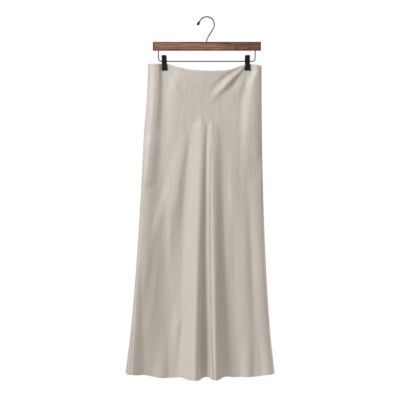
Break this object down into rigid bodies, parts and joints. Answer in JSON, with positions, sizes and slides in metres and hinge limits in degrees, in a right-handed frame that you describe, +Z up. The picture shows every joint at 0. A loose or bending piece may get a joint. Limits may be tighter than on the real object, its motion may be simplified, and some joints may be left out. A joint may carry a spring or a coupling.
{
  "type": "straight maxi skirt on a clip hanger",
  "caption": "Bias-cut straight satin maxi skirt hanging open and slightly folded from the clips of a flat wooden hanger with a steel hook.",
  "frame": {"origin": "inner top of the hook's arc, where a rail carries the hanger", "axes": "+Z up, -Y towards the viewer and the front of the skirt, +X to the viewer's right along the wooden bar"},
  "size_m": [0.4472, 0.2001, 1.0772],
  "materials": {
    "satin": "greige bias-cut satin with a soft sheen and fine vertical slubs",
    "waist_satin": "the same satin, doubled at the waist edge",
    "walnut": "oiled walnut, darker along its edges and ends",
    "dark_steel": "dark steel wire, satin",
    "spring_steel": "dark spring steel",
    "tip_rubber": "matt black tip",
    "clip_black": "matt black with cross ribs"
  },
  "bodies": {
    "root": {"front_panel": "satin", "back_panel": "satin", "waistband_front": "waist_satin", "waistband_back": "waist_satin", "hanger_bar": "walnut", "hook": "dark_steel", "hook_tip": "tip_rubber", "clip_wire": "dark_steel", "clip_left_front_jaw": "clip_black", "clip_left_back_jaw": "clip_black", "clip_left_spring": "spring_steel", "clip_right_front_jaw": "clip_black", "clip_right_back_jaw": "clip_black", "clip_right_spring": "spring_steel"}
  },
  "joints": []
}
